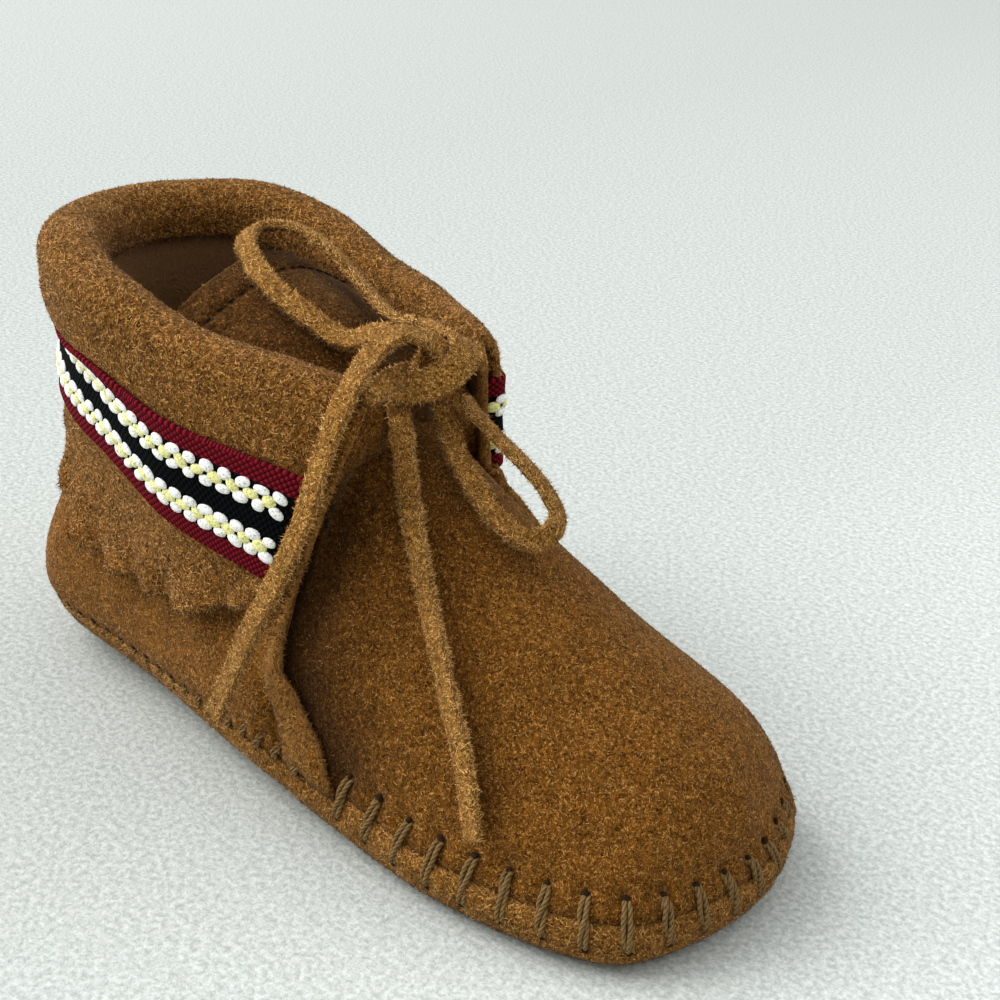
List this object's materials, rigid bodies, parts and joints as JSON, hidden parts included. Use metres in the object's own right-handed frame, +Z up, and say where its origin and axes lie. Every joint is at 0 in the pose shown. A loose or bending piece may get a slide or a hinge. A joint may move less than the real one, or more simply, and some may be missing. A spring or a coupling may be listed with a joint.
{
  "type": "moccasin bootie",
  "caption": "Soft suede moccasin bootie for a toddler's right foot, with a rolled collar, woven braid band, tongue and thong bow.",
  "frame": {"origin": "middle of the footprint on the floor, measured without the bow", "axes": "+X from heel to toe, +Y to the medial side of this right foot, +Z up"},
  "size_m": [0.1528, 0.0706, 0.0847],
  "materials": {
    "suede": "brushed brown suede",
    "sole": "brushed brown suede",
    "insole": "plain brown suede",
    "braid": "woven braid",
    "thong": "rough cut suede thong"
  },
  "bodies": {
    "root": {"sole": "sole", "upper": "suede", "cuff": "suede", "tongue": "suede", "insole": "insole", "braid_trim": "braid", "lace_bar_left": "thong", "lace_bar_right": "thong", "lace_knot": "thong", "lace_loop_left": "thong", "lace_loop_right": "thong", "lace_tail_left": "thong", "lace_tail_centre": "thong"}
  },
  "joints": []
}
